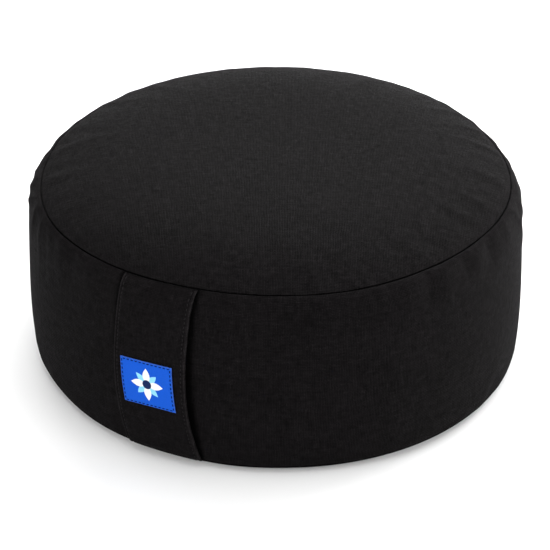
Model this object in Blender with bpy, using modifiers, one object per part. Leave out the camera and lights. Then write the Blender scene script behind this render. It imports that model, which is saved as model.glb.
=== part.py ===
# A round, firmly filled meditation cushion of black canvas. An upright handle strap is sewn on at its front
# left, with a small folded label on the strap. Sizes are in metres. The cushion stands on its base at z = 0,
# its centre line is the Z axis, and its front faces -Y. Azimuths are in degrees about +Z from +X, so that the
# front is at 270.
import math

import bmesh
import bpy
from mathutils import Vector

# The cushion's size, and where its three panels are sewn together.
HEIGHT = 0.145
SEAM_RADIUS = 0.1563  # the top panel meets the side band here
SEAM_HEIGHT = 0.1271
FOOT_RADIUS = 0.1625  # the side band meets the base panel here
FOOT_HEIGHT = 0.0045
REST_RADIUS = 0.151  # inside this the base is flat

# How the fill swells the panels.
CROWN_POWER = 4.0  # a higher power leaves the crown flatter in the middle
BAND_SWELL = 0.0059  # how far the band bulges past a straight line between its seams
BAND_SHOULDER = 0.20  # share of the way down the band at which it has swelled fully
BAND_UPPER_POWER = 2.2
BAND_LOWER_POWER = 3.5

# The channel that each line of stitching draws into the surface.
TOP_CHANNEL_DEPTH = 0.0024
FOOT_CHANNEL_DEPTH = 0.0020
CHANNEL_WIDTH = 0.0032
TOP_SEAM_TILT = math.radians(50)  # the way the top seam faces, above the horizontal
FOOT_SEAM_TILT = math.radians(-25)

# How finely the body is divided.
TURN_STEPS = 144
CROWN_RINGS = 14
BAND_RINGS = 18
ROLL_RINGS = 5

# A filled cushion is never quite round. Each row is a gentle wave right round it:
# what it moves, waves in one turn, size, azimuth of a crest.
WAVES = (
    ("seam height", 1, 0.0009, 90),
    ("seam height", 2, 0.0013, 109),
    ("seam radius", 1, 0.0010, 170),
    ("seam radius", 2, 0.0014, 68),
    ("band swell", 1, 0.0004, 0),
    ("band swell", 2, 0.0006, 305),
    ("band swell", 3, 0.0009, 56),
)

# Places where the seams wander in or out: azimuth, half-width in degrees, distance outward.
TOP_WANDER = (
    (22, 26, -0.0028),
    (95, 12, -0.0006),
    (130, 15, 0.0006),
    (140, 34, -0.0030),
    (178, 14, -0.0014),
    (207, 12, 0.0007),
    (248, 15, -0.0009),
    (285, 16, 0.0021),
    (326, 13, -0.0006),
)
FOOT_WANDER = (
    (25, 15, 0.0005),
    (70, 16, -0.0005),
    (115, 14, 0.0006),
    (160, 13, -0.0005),
    (190, 12, 0.0004),
    (210, 15, -0.0010),
    (245, 13, -0.0018),
    (272, 10, -0.0008),
    (303, 12, 0.0003),
)

# Puckers run from a seam and die out. Each row is one soft ridge:
# azimuth where it starts, reach, half-width, height, degrees that it has turned by the end of its reach.
TOP_PUCKERS = (
    (10, 0.026, 0.0060, 0.0007, 4),
    (23, 0.024, 0.0055, 0.0007, 1),
    (33, 0.022, 0.0060, 0.0008, 3),
    (46, 0.030, 0.0060, 0.0006, 0),
    (60, 0.045, 0.0075, 0.0006, 3),
    (79, 0.024, 0.0065, 0.0003, -2),
    (95, 0.036, 0.0090, 0.0004, -4),
    (112, 0.020, 0.0070, 0.0003, 2),
    (128, 0.030, 0.0060, 0.0006, -1),
    (142, 0.030, 0.0065, 0.0006, -4),
    (158, 0.026, 0.0060, 0.0006, 2),
    (172, 0.032, 0.0065, 0.0008, -4),
    (186, 0.024, 0.0070, 0.0005, 2),
    (205, 0.026, 0.0080, 0.0003, 0),
    (226, 0.024, 0.0090, 0.0003, 2),
    (281, 0.026, 0.0090, 0.0003, 0),
    (306, 0.028, 0.0080, 0.0004, 0),
    (328, 0.040, 0.0060, 0.0004, 1),
    (338, 0.045, 0.0060, 0.0004, 0),
    (352, 0.034, 0.0065, 0.0006, 2),
)
BAND_PUCKERS = (
    (178, 0.060, 0.0240, 0.0025, 0),
    (358, 0.060, 0.0260, 0.0015, 0),
    (8, 0.032, 0.0060, 0.0009, 5),
    (19, 0.026, 0.0055, 0.0008, 0),
    (31, 0.034, 0.0065, 0.0008, -3),
    (44, 0.024, 0.0060, 0.0007, 2),
    (57, 0.036, 0.0070, 0.0009, 0),
    (72, 0.028, 0.0060, 0.0007, 3),
    (86, 0.034, 0.0070, 0.0008, 0),
    (101, 0.026, 0.0065, 0.0008, -3),
    (117, 0.032, 0.0070, 0.0007, 2),
    (131, 0.026, 0.0060, 0.0008, 0),
    (145, 0.034, 0.0070, 0.0008, -3),
    (159, 0.028, 0.0060, 0.0007, 0),
    (171, 0.032, 0.0060, 0.0008, 3),
    (182, 0.034, 0.0055, 0.0008, 4),
    (191, 0.030, 0.0050, 0.0008, -3),
    (201, 0.034, 0.0045, 0.0009, 1),
    (213, 0.032, 0.0060, 0.0006, 1),
    (224, 0.024, 0.0060, 0.0004, 0),
    (271, 0.020, 0.0060, 0.0004, 0),
    (279, 0.024, 0.0060, 0.0005, 0),
    (301, 0.028, 0.0060, 0.0006, 0),
    (309, 0.030, 0.0045, 0.0008, 0),
    (320, 0.026, 0.0065, 0.0006, 0),
    (334, 0.030, 0.0060, 0.0009, 2),
    (344, 0.042, 0.0055, 0.0010, 9),
    (357, 0.036, 0.0060, 0.0009, 7),
)
FOOT_PUCKERS = (
    (16, 0.022, 0.0070, 0.0006, 3),
    (47, 0.020, 0.0080, 0.0005, -2),
    (79, 0.024, 0.0080, 0.0006, 0),
    (112, 0.020, 0.0070, 0.0005, 3),
    (143, 0.024, 0.0080, 0.0006, -3),
    (172, 0.020, 0.0070, 0.0005, 0),
    (199, 0.024, 0.0080, 0.0007, -4),
    (221, 0.018, 0.0070, 0.0004, 2),
    (266, 0.018, 0.0080, 0.0003, 0),
    (297, 0.018, 0.0080, 0.0004, 0),
    (324, 0.022, 0.0070, 0.0006, 3),
    (341, 0.024, 0.0070, 0.0007, 4),
)
PUCKER_CREST = 0.35  # share of its reach at which a pucker is highest

# The handle strap runs down the band from the top seam to the base seam.
STRAP_AZIMUTH = 243.8
STRAP_LEAN = 0.8  # degrees that its lower end has turned towards the front
STRAP_LEAN_POWER = 1.6  # a higher power brings the turn nearer to that end
STRAP_SWAY = -1.8  # degrees that its middle has turned the other way
STRAP_SWAY_PLACE = 0.9  # a lower power puts the sway's crest higher up
STRAP_WIDTH = 0.0497
STRAP_FLARE = 0.027  # share by which it is wider at its lower end
STRAP_THICKNESS = 0.0030  # canvas folded to several layers
STRAP_TOP = 0.018  # shares of the way down the band
STRAP_BOTTOM = 0.980
STRAP_CLEARANCE = 0.0004
STRAP_BOW = 0.0016  # how far its middle stands off the band
STRAP_FLATNESS = 0.0010  # how much further its long edges stand off, because it doesn't bend round the band
STRAP_SLACK_PLACE = 1.6  # a higher power moves the slack down
STRAP_SLACK_POWER = 1.3  # a lower power lets it stand off nearer its ends
STRAP_CELLS = (10, 26)

# The label is a folded rectangle, sewn to the strap a little askew.
LABEL_WIDTH = 0.0363
LABEL_HEIGHT = 0.0313
LABEL_THICKNESS = 0.0010
LABEL_CLEARANCE = 0.0003
LABEL_PLACE = 0.547  # its middle, as a share of the way down the band
LABEL_ASIDE = -0.0005  # how far its middle is from the strap's middle line, towards the front
LABEL_TURN = math.radians(2.3)
LABEL_CELLS = (8, 7)

# Steps to either side, in degrees and in share of the band's height, between which the band's slope is taken.
NORMAL_TURN = 2.0
NORMAL_SHARE = 0.02
SAME_PLACE = 0.00001

# Colours are linear, with roughness.
CANVAS_BLACK = ((0.014, 0.0125, 0.0130), 0.88)
LABEL_BLUE = ((0.014, 0.115, 0.680), 0.60)


def degrees_between(azimuth, other):
    return (azimuth - other + 180) % 360 - 180


def wave(name, azimuth):
    """Sum of the named waves at an azimuth."""
    return sum(
        size * math.cos(math.radians(count * (azimuth - crest)))
        for what, count, size, crest in WAVES
        if what == name
    )


def wander(rows, azimuth):
    """How far a seam has wandered outward at an azimuth."""
    return sum(
        size * math.exp(-((degrees_between(azimuth, centre) / half_width) ** 2))
        for centre, half_width, size in rows
    )


def pucker(rows, azimuth, distance):
    """Height of all the puckers of one seam at a distance from it."""
    height = 0.0
    for start, reach, half_width, size, lean in rows:
        crest = start + lean * distance / reach
        aside = math.radians(degrees_between(azimuth, crest)) * SEAM_RADIUS / half_width
        along = distance / (reach * PUCKER_CREST)
        height += size * math.exp(-(aside**2)) * along * math.exp(1 - along)
    return height


def top_channel(distance):
    """The way the top seam's channel moves a point at a distance from it, as a step out and a step up."""
    depth = TOP_CHANNEL_DEPTH * math.exp(-distance / CHANNEL_WIDTH)
    return -depth * math.cos(TOP_SEAM_TILT), -depth * math.sin(TOP_SEAM_TILT)


def foot_channel(distance):
    depth = FOOT_CHANNEL_DEPTH * math.exp(-distance / CHANNEL_WIDTH)
    return -depth * math.cos(FOOT_SEAM_TILT), -depth * math.sin(FOOT_SEAM_TILT)


def crown_height(share):
    """Height of the plain crown at a share of the way from the centre line to the seam."""
    return SEAM_HEIGHT + (HEIGHT - SEAM_HEIGHT) * (1 - share**CROWN_POWER)


def band_bulge(share):
    """Swell of the plain band, from 0 at its seams to 1 at its shoulder, at a share of the way down.

    The root above the shoulder makes the band leave the top seam level and then turn down.
    """
    if share < BAND_SHOULDER:
        return math.sqrt(1 - (1 - share / BAND_SHOULDER) ** BAND_UPPER_POWER)
    return 1 - ((share - BAND_SHOULDER) / (1 - BAND_SHOULDER)) ** BAND_LOWER_POWER


def cylindrical(radius, azimuth, height):
    angle = math.radians(azimuth)
    return Vector((radius * math.cos(angle), radius * math.sin(angle), height))


def seam_place(azimuth):
    """Radius and height of the top seam before its channel is drawn in."""
    radius = SEAM_RADIUS + wave("seam radius", azimuth) + wander(TOP_WANDER, azimuth)
    return radius, SEAM_HEIGHT + wave("seam height", azimuth)


def crown_point(azimuth, share):
    """A point of the top panel, a share of the way from its centre to its seam."""
    seam_radius, seam_height = seam_place(azimuth)
    radius = seam_radius * share
    height = crown_height(share) + (seam_height - SEAM_HEIGHT) * share**2
    distance = math.hypot(seam_radius - radius, seam_height - height)
    out, up = top_channel(distance)
    return cylindrical(radius + out, azimuth, height + up + pucker(TOP_PUCKERS, azimuth, distance))


def band_point(azimuth, share):
    """A point of the side band, a share of the way from the top seam down to the base seam."""
    seam_radius, seam_height = seam_place(azimuth)
    swell = BAND_SWELL + wave("band swell", azimuth)
    foot_radius = FOOT_RADIUS + wander(FOOT_WANDER, azimuth)
    radius = seam_radius + (foot_radius - seam_radius) * share + swell * band_bulge(share)
    height = seam_height + (FOOT_HEIGHT - seam_height) * share
    from_seam = math.hypot(seam_radius - radius, seam_height - height)
    from_foot = math.hypot(foot_radius - radius, FOOT_HEIGHT - height)
    top_out, top_up = top_channel(from_seam)
    foot_out, foot_up = foot_channel(from_foot)
    ridges = pucker(BAND_PUCKERS, azimuth, from_seam) + pucker(FOOT_PUCKERS, azimuth, from_foot)
    return cylindrical(radius + top_out + foot_out + ridges, azimuth, height + top_up + foot_up)


def roll_point(azimuth, share):
    """A point where the base panel rolls under, a share of the way in from the base seam to the flat."""
    foot_radius = FOOT_RADIUS + wander(FOOT_WANDER, azimuth)
    radius = foot_radius + (REST_RADIUS - foot_radius) * share
    height = FOOT_HEIGHT * (1 - share) ** 2
    distance = math.hypot(foot_radius - radius, FOOT_HEIGHT - height)
    out, up = foot_channel(distance)
    return cylindrical(radius + out, azimuth, height + up * (1 - share))


def plain_profile():
    """The cushion's outline before it is made uneven: radii and heights, from crown to base.

    Its points crowd towards the seams, where the channels and the puckers are.
    """
    points = []
    for i in range(CROWN_RINGS + 1):
        share = math.sin(math.pi / 2 * i / CROWN_RINGS)
        points.append((SEAM_RADIUS * share, crown_height(share)))
    for i in range(1, BAND_RINGS + 1):
        share = (1 - math.cos(math.pi * i / BAND_RINGS)) / 2
        radius = SEAM_RADIUS + (FOOT_RADIUS - SEAM_RADIUS) * share + BAND_SWELL * band_bulge(share)
        points.append((radius, SEAM_HEIGHT + (FOOT_HEIGHT - SEAM_HEIGHT) * share))
    for i in range(1, ROLL_RINGS + 1):
        share = 1 - math.cos(math.pi / 2 * i / ROLL_RINGS)
        points.append((FOOT_RADIUS + (REST_RADIUS - FOOT_RADIUS) * share, FOOT_HEIGHT * (1 - share) ** 2))
    points.append((0.0, 0.0))
    return points


def uneven_point(plain):
    """Where the fill and the sewing leave a point of the plain turned body."""
    radius = math.hypot(plain.x, plain.y)
    azimuth = math.degrees(math.atan2(plain.y, plain.x)) % 360
    if plain.z > SEAM_HEIGHT - SAME_PLACE:
        return crown_point(azimuth, radius / SEAM_RADIUS)
    if plain.z > FOOT_HEIGHT - SAME_PLACE:
        return band_point(azimuth, (SEAM_HEIGHT - plain.z) / (SEAM_HEIGHT - FOOT_HEIGHT))
    if radius > REST_RADIUS - SAME_PLACE:
        return roll_point(azimuth, (FOOT_RADIUS - radius) / (FOOT_RADIUS - REST_RADIUS))
    return plain


def strap_lift(across, along):
    """How far the strap's inner side stands off the band, at -1 to 1 across it and 0 to 1 down it."""
    slack = math.sin(math.pi * along**STRAP_SLACK_PLACE) ** STRAP_SLACK_POWER
    return STRAP_CLEARANCE + (STRAP_BOW + STRAP_FLATNESS * across**2) * slack


def strap_azimuth(share):
    """Azimuth of the strap's middle line at a share of the way down the band."""
    sway = STRAP_SWAY * math.sin(math.pi * share**STRAP_SWAY_PLACE)
    return STRAP_AZIMUTH + STRAP_LEAN * share**STRAP_LEAN_POWER + sway


def over_band(across, share, lift):
    """A point off the band by lift, a length across from the strap's middle line, a share of the way down."""
    middle = strap_azimuth(share)
    beside = band_point(middle, share)
    azimuth = middle + math.degrees(across / (math.hypot(beside.x, beside.y) + lift))
    above = max(share - NORMAL_SHARE, 0)
    below = min(share + NORMAL_SHARE, 1)
    round_band = band_point(azimuth + NORMAL_TURN, share) - band_point(azimuth - NORMAL_TURN, share)
    up_band = band_point(azimuth, above) - band_point(azimuth, below)
    return band_point(azimuth, share) + round_band.cross(up_band).normalized() * lift


def strap_point(across, down):
    """A point of the strap's inner side, at -1 to 1 across it and 0 to 1 down it."""
    share = STRAP_TOP + (STRAP_BOTTOM - STRAP_TOP) * down
    half_width = STRAP_WIDTH / 2 * (1 + STRAP_FLARE * down)
    return over_band(across * half_width, share, strap_lift(across, down))


def label_point(across, down):
    """A point of the label's inner side, at -1 to 1 across it and 0 to 1 down it."""
    beside = across * LABEL_WIDTH / 2
    above = (0.5 - down) * LABEL_HEIGHT
    turned_beside = LABEL_ASIDE + beside * math.cos(LABEL_TURN) - above * math.sin(LABEL_TURN)
    turned_above = beside * math.sin(LABEL_TURN) + above * math.cos(LABEL_TURN)
    share = LABEL_PLACE - turned_above / (SEAM_HEIGHT - FOOT_HEIGHT)
    along = (share - STRAP_TOP) / (STRAP_BOTTOM - STRAP_TOP)
    strap_top_side = strap_lift(turned_beside / (STRAP_WIDTH / 2), along) + STRAP_THICKNESS
    return over_band(turned_beside, share, strap_top_side + LABEL_CLEARANCE)


def fabric(name, finish):
    colour, roughness = finish
    material = bpy.data.materials.new(name)
    material.use_nodes = True
    shader = material.node_tree.nodes["Principled BSDF"]
    shader.inputs["Base Color"].default_value = (*colour, 1)
    shader.inputs["Roughness"].default_value = roughness
    shader.inputs["Metallic"].default_value = 0
    material.diffuse_color = (*colour, 1)
    return material


def add_object(name, mesh, material, collection):
    thing = bpy.data.objects.new(name, mesh)
    mesh.materials.append(material)
    mesh.shade_smooth()
    collection.objects.link(thing)
    return thing


def add_cushion(collection):
    """The filled body: its outline turned about the Z axis, then made uneven."""
    outline = [(radius, 0.0, height) for radius, height in plain_profile()]
    profile = bpy.data.meshes.new("cushion_outline")
    profile.from_pydata(outline, [(i, i + 1) for i in range(len(outline) - 1)], [])
    turned = bpy.data.objects.new("cushion_outline", profile)
    collection.objects.link(turned)
    screw = turned.modifiers.new("Turn", "SCREW")
    screw.axis = "Z"
    screw.steps = TURN_STEPS
    screw.render_steps = TURN_STEPS
    screw.use_merge_vertices = True
    screw.merge_threshold = 0.0001
    mesh = bpy.data.meshes.new_from_object(turned.evaluated_get(bpy.context.evaluated_depsgraph_get()))
    mesh.name = "cushion"
    bpy.data.objects.remove(turned)
    for corner in mesh.vertices:
        corner.co = uneven_point(corner.co)
    return add_object("cushion", mesh, fabric("canvas", CANVAS_BLACK), collection)


def add_sheet(name, point, cells, thickness, finish, collection):
    """A sheet of cloth: a grid laid where the function puts it, given its thickness on its outer side."""
    grid = bmesh.new()
    bmesh.ops.create_grid(grid, x_segments=cells[0], y_segments=cells[1], size=1)
    for corner in grid.verts:
        corner.co = point(corner.co.x, (1 - corner.co.y) / 2)
    mesh = bpy.data.meshes.new(name)
    grid.to_mesh(mesh)
    grid.free()
    sheet = add_object(name, mesh, fabric(name, finish), collection)
    solidify = sheet.modifiers.new("Thickness", "SOLIDIFY")
    solidify.thickness = thickness
    solidify.offset = 1
    return sheet


def main():
    for old in list(bpy.data.objects):
        bpy.data.objects.remove(old)
    collection = bpy.data.collections.new("meditation_cushion")
    bpy.context.scene.collection.children.link(collection)
    add_cushion(collection)
    add_sheet("handle_strap", strap_point, STRAP_CELLS, STRAP_THICKNESS, CANVAS_BLACK, collection)
    add_sheet("label", label_point, LABEL_CELLS, LABEL_THICKNESS, LABEL_BLUE, collection)


main()
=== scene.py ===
# Round black canvas meditation cushion with a handle strap and a sewn label.
# Lengths are in metres. Azimuths are in degrees about +Z from +X, so the front is at 270.
import math

import bmesh
import bpy
import numpy as np
from mathutils import Matrix, Vector


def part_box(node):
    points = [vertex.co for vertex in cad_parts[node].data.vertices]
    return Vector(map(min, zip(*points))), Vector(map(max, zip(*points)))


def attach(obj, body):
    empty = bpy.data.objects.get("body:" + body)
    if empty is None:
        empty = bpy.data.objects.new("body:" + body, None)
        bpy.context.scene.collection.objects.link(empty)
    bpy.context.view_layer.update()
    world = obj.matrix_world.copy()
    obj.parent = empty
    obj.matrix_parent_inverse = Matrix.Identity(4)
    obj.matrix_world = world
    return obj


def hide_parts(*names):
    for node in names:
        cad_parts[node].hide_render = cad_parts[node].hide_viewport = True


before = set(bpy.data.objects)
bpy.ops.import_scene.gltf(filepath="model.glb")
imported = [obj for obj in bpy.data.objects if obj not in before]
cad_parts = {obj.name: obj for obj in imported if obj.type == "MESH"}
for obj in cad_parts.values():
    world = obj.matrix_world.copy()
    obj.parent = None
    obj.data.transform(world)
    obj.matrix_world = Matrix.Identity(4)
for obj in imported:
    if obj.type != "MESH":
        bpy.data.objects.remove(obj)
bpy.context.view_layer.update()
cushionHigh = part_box("cushion")[1]
scene = bpy.context.scene
print("frame loaded:", sorted(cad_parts))


# Camera

view = dict(
    elevation=30.8,
    roll=0.39,
    distance=1.4,
    aim=(-0.00126, 0.0, 0.04754),
    lens=135.6,  # mm
    sensor=36.0,
)


def addCamera(v):
    # looks along +Y and down by the elevation; the roll turns right and up about the line of sight
    tilt = math.radians(v["elevation"])
    roll = math.radians(v["roll"])
    forward = Vector((0, math.cos(tilt), -math.sin(tilt)))
    right = Vector((1, 0, 0))
    up = Vector((0, math.sin(tilt), math.cos(tilt)))
    rolledRight = math.cos(roll) * right + math.sin(roll) * up
    rolledUp = math.cos(roll) * up - math.sin(roll) * right
    data = bpy.data.cameras.new("camera")
    data.lens = v["lens"]
    data.sensor_width = v["sensor"]
    camera = bpy.data.objects.new("camera", data)
    scene.collection.objects.link(camera)
    place = Vector(v["aim"]) - forward * v["distance"]
    turn = Matrix((rolledRight, rolledUp, -forward)).transposed()
    camera.matrix_world = Matrix.Translation(place) @ turn.to_4x4()
    scene.camera = camera


addCamera(view)
print("camera placed")


# Meshes from grids of points

def gridQuads(rows, columns, wrapped):
    # corners (i, j), (i + 1, j), (i + 1, j + 1), (i, j + 1) of each cell, the last column meeting the first
    across = columns if wrapped else columns - 1
    i, j = np.meshgrid(np.arange(rows - 1), np.arange(across), indexing="ij")
    beside = (j + 1) % columns
    corners = (i * columns + j, (i + 1) * columns + j, (i + 1) * columns + beside, i * columns + beside)
    return np.stack(corners, -1).reshape(-1, 4)


def gridUv(places, wrapped):
    # the four corners of each cell of a grid, in the order of gridQuads
    if wrapped:
        places = np.concatenate([places, places[:, :1]], 1)
    return np.stack([places[:-1, :-1], places[1:, :-1], places[1:, 1:], places[:-1, 1:]], 2)


def newPiece(name, points, faces, material, uv=None, shade=None):
    # shade, if given, is one value a point for the material to read: painted shade above 0, painted
    # highlight below 0
    mesh = bpy.data.meshes.new(name)
    mesh.from_pydata(points.reshape(-1, 3), [], faces)
    if shade is not None:
        layer = mesh.attributes.new("shade", "FLOAT", "POINT")
        layer.data.foreach_set("value", np.ascontiguousarray(shade, np.float32).ravel())
    if uv is not None:
        layer = mesh.uv_layers.new(name="cloth")
        layer.data.foreach_set("uv", np.ascontiguousarray(uv, np.float32).ravel())
    closeUp(mesh)
    mesh.shade_smooth()
    mesh.materials.append(material)
    piece = bpy.data.objects.new(name, mesh)
    scene.collection.objects.link(piece)
    return piece


def closeUp(mesh):
    # points drawn at one place become one, open rims are filled, and faces are turned outward
    work = bmesh.new()
    work.from_mesh(mesh)
    bmesh.ops.remove_doubles(work, verts=work.verts, dist=0.000001)
    rim = [edge for edge in work.edges if edge.is_boundary]
    if rim:
        bmesh.ops.holes_fill(work, edges=rim, sides=0)
    bmesh.ops.recalc_face_normals(work, faces=work.faces)
    work.to_mesh(mesh)
    work.free()


def unit(vectors):
    # each vector over its own length
    return vectors / np.maximum(np.linalg.norm(vectors, axis=-1, keepdims=True), 1e-12)


def crowded(total, fine, coarse, growth):
    # places from 0 to total whose spacing grows from fine to coarse by a constant factor
    count = int(total / fine) + 1
    spacing = np.minimum(fine * growth ** np.minimum(np.arange(count), 60), coarse)
    places = np.concatenate([[0], np.cumsum(spacing)])
    places = places[: np.searchsorted(places, total) + 1]
    return places * total / places[-1]


def crowdedEnds(count, power):
    # places from -1 to 1: the sine of an even step, and 1 - (1 - x) ** power of that on either side of 0
    even = np.sin(np.linspace(-np.pi / 2, np.pi / 2, count))
    return np.sign(even) * (1 - (1 - np.abs(even)) ** power)


# Shape of the filled cushion

cushion = dict(
    height=cushionHigh.z,
    seamRadius=0.1563,  # the top panel meets the band here
    seamHeight=0.1271,
    footRadius=0.1625,  # the band meets the base panel here
    footHeight=0.0045,
    restRadius=0.151,  # inside this the base is flat
    crownPower=4.0,  # a higher power leaves the crown flatter in the middle
    bandSwell=0.0059,  # how far the band bulges past a straight line between its seams
    bandShoulder=0.20,  # share of the way down at which the band has swelled fully
    upperPower=2.2,  # how full the band is above its shoulder
    lowerPower=3.5,  # and below it
    # how far each seam is drawn in, and the way it faces in degrees above the horizontal
    seamPull=(0.0030, 45),
    footPull=(0.0020, -25),
    # the soft roll of each cloth towards its seam: depth, the way it faces, width and power
    crownRoll=(0.00045, 45, 0.0032, 1),
    bandRoll=(0.0010, 5, 0.0020, 2),
    footRoll=(0.0010, -25, 0.0032, 1),
    slitWidth=0.0005,  # each cloth turns sharply into the seam over this width
    paintedShadeWidth=0.0008,  # how far the painted shade between two cloths reaches from the seam
    foldHighlight=0.7,  # strength of the painted highlight on the fold beside a seam, from 0 to 1
    foldHighlightPlace=0.0016,  # distance of that fold from the seam
    foldHighlightWidth=0.0006,
    steps=480,
    fineRing=0.00012,  # distance between two rings of points at a seam
    coarseRing=0.0026,  # and away from it
    ringGrowth=1.17,
    levelShare=0.025,  # share of the way down in which the rings are closer still
    rollRing=0.0009,
    flatRings=(0.001, 0.012),  # distances between rings at the flat's rim and in its middle
    baseGrowth=1.3,
)
# what it moves: waves in one turn, size, azimuth of a crest
waveRows = {
    "seam height": ((1, 0.0009, 90), (2, 0.0013, 109)),
    "seam radius": ((1, 0.0010, 170), (2, 0.0014, 68)),
    "band swell": ((1, 0.0004, 0), (2, 0.0006, 305), (3, 0.0009, 56)),
}
# azimuth, half-width in degrees, distance outward
topWander = (
    (22, 26, -0.0028), (95, 12, -0.0006), (130, 15, 0.0006), (140, 34, -0.0030), (178, 14, -0.0014),
    (207, 12, 0.0007), (248, 15, -0.0009), (285, 16, 0.0021), (326, 13, -0.0006),
)
footWander = (
    (25, 15, 0.0005), (70, 16, -0.0005), (115, 14, 0.0006), (160, 13, -0.0005), (190, 12, 0.0004),
    (210, 15, -0.0010), (245, 13, -0.0018), (272, 10, -0.0008), (303, 12, 0.0003),
)
# azimuth where it starts, reach, half-width, height, degrees turned by the end of its reach
topPuckers = (
    (10, 0.026, 0.0060, 0.0007, 4), (23, 0.024, 0.0055, 0.0007, 1), (33, 0.022, 0.0060, 0.0008, 3),
    (46, 0.030, 0.0060, 0.0006, 0), (60, 0.045, 0.0075, 0.0006, 3), (79, 0.024, 0.0065, 0.0003, -2),
    (95, 0.036, 0.0090, 0.0004, -4), (112, 0.020, 0.0070, 0.0003, 2), (128, 0.030, 0.0060, 0.0006, -1),
    (142, 0.030, 0.0065, 0.0006, -4), (158, 0.026, 0.0060, 0.0006, 2), (172, 0.032, 0.0065, 0.0008, -4),
    (186, 0.024, 0.0070, 0.0005, 2), (205, 0.026, 0.0080, 0.0003, 0), (226, 0.024, 0.0090, 0.0003, 2),
    (276, 0.012, 0.0060, -0.0005, 0), (287, 0.026, 0.0090, 0.0003, 0), (306, 0.028, 0.0080, 0.0004, 0),
    (328, 0.040, 0.0060, 0.0004, 1), (338, 0.045, 0.0060, 0.0004, 0), (352, 0.034, 0.0065, 0.0006, 2),
)
bandPuckers = (
    (358, 0.060, 0.0260, 0.0015, 0), (178, 0.060, 0.0240, 0.0025, 0),  # the sides are fuller below the seam
    (8, 0.032, 0.0060, 0.0006, 5), (19, 0.026, 0.0055, 0.0005, 0), (31, 0.034, 0.0065, 0.0006, -3),
    (44, 0.024, 0.0060, 0.0005, 2), (57, 0.036, 0.0070, 0.0006, 0), (72, 0.028, 0.0060, 0.0006, 3),
    (86, 0.034, 0.0070, 0.0007, 0), (101, 0.026, 0.0065, 0.0007, -3), (117, 0.032, 0.0070, 0.0006, 2),
    (131, 0.026, 0.0060, 0.0005, 0), (145, 0.034, 0.0070, 0.0005, -3), (159, 0.028, 0.0060, 0.0005, 0),
    (171, 0.032, 0.0050, 0.0006, -8), (180, 0.024, 0.0034, 0.0007, -12), (186.5, 0.024, 0.0032, 0.0009, -12),
    (193, 0.026, 0.0032, 0.0011, -14), (196, 0.034, 0.0036, 0.0011, -2), (202, 0.034, 0.0036, 0.0010, 0),
    (205.5, 0.030, 0.0030, -0.0006, 1), (213, 0.032, 0.0055, 0.0008, 1), (218.5, 0.026, 0.0035, -0.0005, 0),
    (224, 0.024, 0.0055, 0.0005, 0), (255, 0.020, 0.0060, 0.0003, 0), (269, 0.020, 0.0055, 0.0004, 0),
    (274.5, 0.016, 0.0035, -0.0006, 0), (280, 0.024, 0.0055, 0.0005, 0), (299, 0.026, 0.0060, 0.0006, 0),
    (305, 0.022, 0.0036, -0.0009, 0), (310, 0.024, 0.0042, 0.0006, 0), (316.5, 0.018, 0.0040, -0.0007, 0),
    (321, 0.022, 0.0050, 0.0004, 0), (326.5, 0.016, 0.0055, -0.0013, 0), (335, 0.026, 0.0055, 0.0006, 4),
    (342, 0.040, 0.0036, 0.0011, 12), (348, 0.036, 0.0030, 0.0008, 12), (357, 0.036, 0.0045, 0.0006, 7),
)
footPuckers = (
    (16, 0.022, 0.0070, 0.0006, 3), (47, 0.020, 0.0080, 0.0005, -2), (79, 0.024, 0.0080, 0.0006, 0),
    (112, 0.020, 0.0070, 0.0005, 3), (143, 0.024, 0.0080, 0.0006, -3), (172, 0.020, 0.0070, 0.0005, 0),
    (199, 0.024, 0.0080, 0.0007, -4), (221, 0.018, 0.0070, 0.0004, 2), (266, 0.018, 0.0080, 0.0003, 0),
    (297, 0.018, 0.0080, 0.0004, 0), (324, 0.022, 0.0070, 0.0006, 3), (341, 0.024, 0.0070, 0.0007, 4),
)
puckerCrest = 0.35  # share of its reach at which a pucker is highest


def degreesBetween(azimuth, other):
    # the shorter way round from other to azimuth, from -180 to 180
    return (azimuth - other + 180) % 360 - 180


def wave(name, azimuth):
    # sum of size * cos(count * (azimuth - crest))
    return sum(size * np.cos(np.radians(count * (azimuth - crest))) for count, size, crest in waveRows[name])


def wander(rows, azimuth):
    # sum of bell curves of the azimuth
    return sum(size * np.exp(-((degreesBetween(azimuth, at) / half) ** 2)) for at, half, size in rows)


def puckers(rows, azimuth, distance):
    # sum of ridges: a bell curve across, and t * exp(1 - t) along, where t is distance over its crest's
    height = np.zeros(np.broadcast(azimuth, distance).shape)
    for start, reach, half, size, lean in rows:
        crest = start + lean * distance / reach
        aside = np.radians(degreesBetween(azimuth, crest)) * cushion["seamRadius"] / half
        along = distance / (reach * puckerCrest)
        height += size * np.exp(-(aside**2)) * along * np.exp(1 - along)
    return height


def inward(depth, tilt):
    # the parts out and up of a move against the way a seam faces: -depth * cos(tilt) and -depth * sin(tilt)
    angle = math.radians(tilt)
    return -depth * math.cos(angle), -depth * math.sin(angle)


def drawnIn(distance, pull, roll, stitched):
    # roll * exp(-(d / width) ** power), and the rest of the pull in a slit by exp(-(d / slitWidth) ** 3)
    depth, tilt, width, power = roll
    soft = np.exp(-((distance / width) ** power))
    slit = np.exp(-((distance / cushion["slitWidth"]) ** 3)) if stitched else 0
    pullOut, pullUp = inward(*pull)
    rollOut, rollUp = inward(depth, tilt)
    return rollOut * (soft - slit) + pullOut * slit, rollUp * (soft - slit) + pullUp * slit


def seamPlace(azimuth):
    # radius and height of the top seam: its size, its waves and its wander
    c = cushion
    radius = c["seamRadius"] + wave("seam radius", azimuth) + wander(topWander, azimuth)
    return radius, c["seamHeight"] + wave("seam height", azimuth)


def footPlace(azimuth):
    # radius and height of the base seam: its size and its wander
    return cushion["footRadius"] + wander(footWander, azimuth), cushion["footHeight"]


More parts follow.
